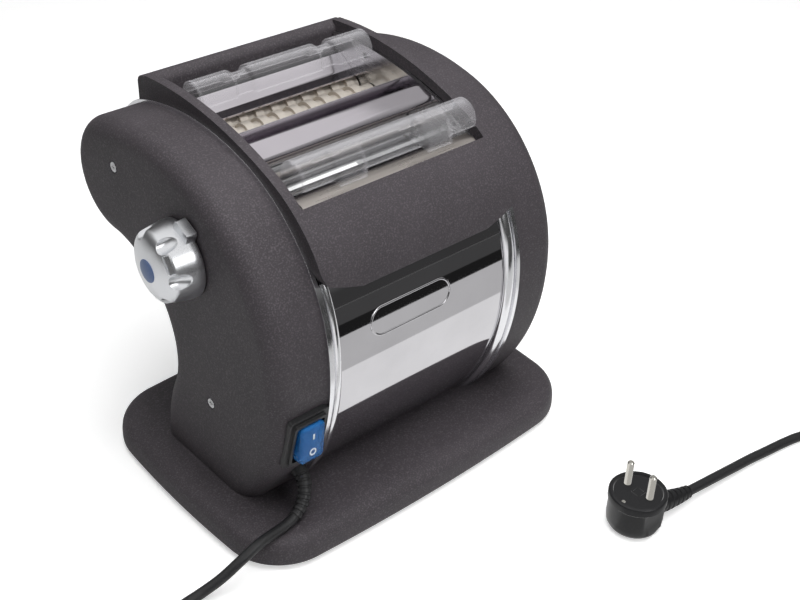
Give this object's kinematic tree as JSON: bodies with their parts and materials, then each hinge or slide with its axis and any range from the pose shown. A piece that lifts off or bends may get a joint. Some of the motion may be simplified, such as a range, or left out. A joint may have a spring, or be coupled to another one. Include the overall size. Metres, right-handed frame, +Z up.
{
  "type": "electric pasta maker",
  "caption": "Electric pasta maker with smooth sheet rollers, wide and fine noodle cutters, gap knob, clear finger guards, rocker switch and mains lead.",
  "frame": {"origin": "on the table under the middle of the machine's footprint, cord left out", "axes": "+X to the right along the rollers, +Y to the back, +Z up"},
  "size_m": [0.5186, 0.4775, 0.269],
  "materials": {
    "graphite_paint": "fine matte texture paint with small pale specks",
    "black_plastic": "moulded, matte",
    "rubber": "matte",
    "zinc_steel": "zinc plated",
    "plate_steel": "satin",
    "chrome_trim": "mirror polished",
    "satin_strip": "warm satin polish",
    "clear_plastic": "clear moulded acrylic",
    "roller_steel": "ground smooth",
    "cutter_metal": "warm satin, fine turned lines",
    "bearing_bronze": "sintered bronze",
    "gear_plastic": "moulded acetal",
    "grey_casting": "cast, painted grey",
    "knob_silver": "satin, fine blasted",
    "cap_blue": "satin blue",
    "rocker_blue": "glossy blue, white marks",
    "boot_blue": "soft translucent blue",
    "wire_blue": "insulated wire",
    "cord_black": "matte black sheath",
    "pin_metal": "nickelled brass"
  },
  "bodies": {
    "frame": {"base_plate": "graphite_paint", "base_cover": "black_plastic", "rubber_feet": "rubber", "left_housing": "graphite_paint", "right_housing": "graphite_paint", "housing_screws": "zinc_steel", "housing_posts": "zinc_steel", "left_side_plate": "plate_steel", "right_side_plate": "plate_steel", "left_edge_strip": "chrome_trim", "right_edge_strip": "chrome_trim", "tie_rods": "zinc_steel", "front_panel": "chrome_trim", "rear_panel": "chrome_trim", "hood_frame": "graphite_paint", "front_guard": "clear_plastic", "rear_guard": "clear_plastic", "front_feed_plate": "satin_strip", "middle_feed_plate": "chrome_trim", "rear_feed_plates": "chrome_trim", "sheet_scrapers": "zinc_steel", "wide_cutter_combs": "cutter_metal", "fine_cutter_combs": "cutter_metal", "shaft_bushes": "bearing_bronze", "gear_studs": "zinc_steel", "gearbox": "grey_casting", "motor": "zinc_steel", "switch_bezel": "black_plastic", "switch_body": "black_plastic", "internal_leads": "wire_blue", "strain_relief": "cord_black", "cord_lead": "cord_black", "cord_coil": "cord_black", "cord_tail": "cord_black", "coil_tie": "cord_black", "plug_body": "cord_black", "plug_pins": "pin_metal"},
    "knob": {"knob_shaft": "zinc_steel", "gap_knob": "knob_silver", "knob_cap": "cap_blue"},
    "bearing_carrier": {"bearing_blocks": "bearing_bronze"},
    "front_sheet_set": {"front_sheet_roller": "roller_steel", "front_sheet_gear": "gear_plastic"},
    "rear_sheet_set": {"rear_sheet_roller": "roller_steel", "rear_sheet_gear": "gear_plastic", "drive_gear": "gear_plastic"},
    "front_wide_set": {"front_wide_cutter": "cutter_metal", "front_wide_gear": "gear_plastic"},
    "rear_wide_set": {"rear_wide_cutter": "cutter_metal", "rear_wide_gears": "gear_plastic"},
    "front_fine_set": {"front_fine_cutter": "cutter_metal", "front_fine_gear": "gear_plastic"},
    "rear_fine_set": {"rear_fine_cutter": "cutter_metal", "rear_fine_gears": "gear_plastic"},
    "front_idler": {"front_idler_gear": "gear_plastic"},
    "rear_idler": {"rear_idler_gear": "gear_plastic"},
    "reduction": {"reduction_gear": "gear_plastic"},
    "pinion": {"pinion_shaft": "zinc_steel"},
    "rocker": {"switch_rocker": "rocker_blue", "switch_boot": "boot_blue"}
  },
  "joints": [
    {"name": "knob_turn", "type": "hinge", "parent": "frame", "child": "knob", "pos_m": [0, -0.0106, 0.19], "axis": [1, 0, 0], "range_deg": [0, 150]},
    {"name": "gap_slide", "type": "slide", "parent": "frame", "child": "bearing_carrier", "axis": [0, 0.6899, 0.7239], "range_m": [0, 0.002]},
    {"name": "front_sheet_spin", "type": "hinge", "parent": "bearing_carrier", "child": "front_sheet_set", "pos_m": [0, -0.01134, 0.18922], "axis": [1, 0, 0], "continuous": true},
    {"name": "rear_sheet_spin", "type": "hinge", "parent": "frame", "child": "rear_sheet_set", "pos_m": [0, 0.01074, 0.21239], "axis": [1, 0, 0], "continuous": true},
    {"name": "front_wide_spin", "type": "hinge", "parent": "frame", "child": "front_wide_set", "pos_m": [0, 0.0404, 0.223], "axis": [1, 0, 0], "continuous": true},
    {"name": "rear_wide_spin", "type": "hinge", "parent": "frame", "child": "rear_wide_set", "pos_m": [0, 0.0599, 0.223], "axis": [1, 0, 0], "continuous": true},
    {"name": "front_fine_spin", "type": "hinge", "parent": "frame", "child": "front_fine_set", "pos_m": [0, 0.0824, 0.218], "axis": [1, 0, 0], "continuous": true},
    {"name": "rear_fine_spin", "type": "hinge", "parent": "frame", "child": "rear_fine_set", "pos_m": [0, 0.09995, 0.2095], "axis": [1, 0, 0], "continuous": true},
    {"name": "front_idler_spin", "type": "hinge", "parent": "frame", "child": "front_idler", "pos_m": [0, 0.04038, 0.20778], "axis": [1, 0, 0], "continuous": true},
    {"name": "rear_idler_spin", "type": "hinge", "parent": "frame", "child": "rear_idler", "pos_m": [0, 0.07581, 0.20404], "axis": [1, 0, 0], "continuous": true},
    {"name": "reduction_spin", "type": "hinge", "parent": "frame", "child": "reduction", "pos_m": [0, -0.01503, 0.16494], "axis": [1, 0, 0], "continuous": true},
    {"name": "pinion_spin", "type": "hinge", "parent": "frame", "child": "pinion", "pos_m": [0, -0.0374, 0.13299], "axis": [1, 0, 0], "continuous": true},
    {"name": "rocker_tilt", "type": "hinge", "parent": "frame", "child": "rocker", "pos_m": [-0.098, -0.09301, 0.09156], "axis": [1, 0, 0], "range_deg": [0, 16]}
  ],
  "couplings": [
    {"joint": "knob_turn", "follows": "gap_slide", "rad_per_m": 1309},
    {"joint": "front_sheet_spin", "follows": "rear_sheet_spin", "ratio": -1},
    {"joint": "reduction_spin", "follows": "rear_sheet_spin", "ratio": -0.8},
    {"joint": "pinion_spin", "follows": "rear_sheet_spin", "ratio": 2.6667},
    {"joint": "front_idler_spin", "follows": "rear_sheet_spin", "ratio": -1},
    {"joint": "rear_wide_spin", "follows": "rear_sheet_spin", "ratio": 1.5385},
    {"joint": "front_wide_spin", "follows": "rear_sheet_spin", "ratio": -1.5385},
    {"joint": "rear_idler_spin", "follows": "rear_sheet_spin", "ratio": -1},
    {"joint": "rear_fine_spin", "follows": "rear_sheet_spin", "ratio": 1.5385},
    {"joint": "front_fine_spin", "follows": "rear_sheet_spin", "ratio": -1.5385}
  ]
}
